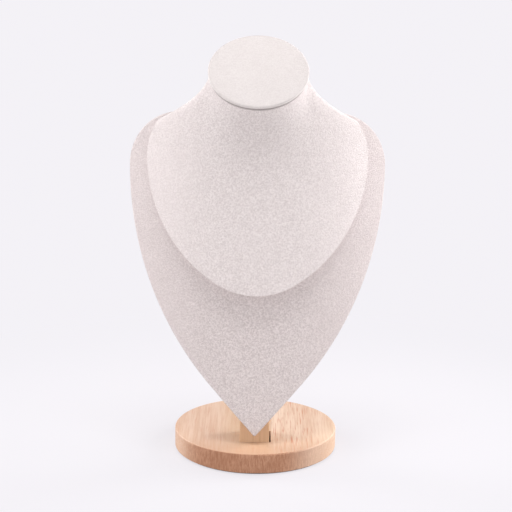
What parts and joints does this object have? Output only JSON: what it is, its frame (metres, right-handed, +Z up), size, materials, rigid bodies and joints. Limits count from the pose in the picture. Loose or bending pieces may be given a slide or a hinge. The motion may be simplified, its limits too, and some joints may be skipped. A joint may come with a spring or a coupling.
{
  "type": "necklace stand",
  "caption": "Free-standing necklace bust: fabric-covered neck and chest on a curved V-shaped panel, with a wooden post and round wooden base.",
  "frame": {"origin": "middle of the felt's underside, on the table", "axes": "+Z up, +Y to the back of the bust, +X to the right of someone who looks at its front"},
  "size_m": [0.219, 0.14, 0.354],
  "materials": {
    "base_wood": "smooth oiled",
    "post_wood": "smooth oiled",
    "panel_fabric": "suede-like",
    "chest_fabric": "suede-like",
    "cap_fabric": "suede-like",
    "felt": "felt",
    "screw_steel": "zinc plated"
  },
  "bodies": {
    "root": {"base": "base_wood", "base_felt": "felt", "base_screw": "screw_steel", "post": "post_wood", "panel_screws": "screw_steel", "back_panel": "panel_fabric", "chest_form": "chest_fabric", "neck_cap": "cap_fabric"}
  },
  "joints": []
}
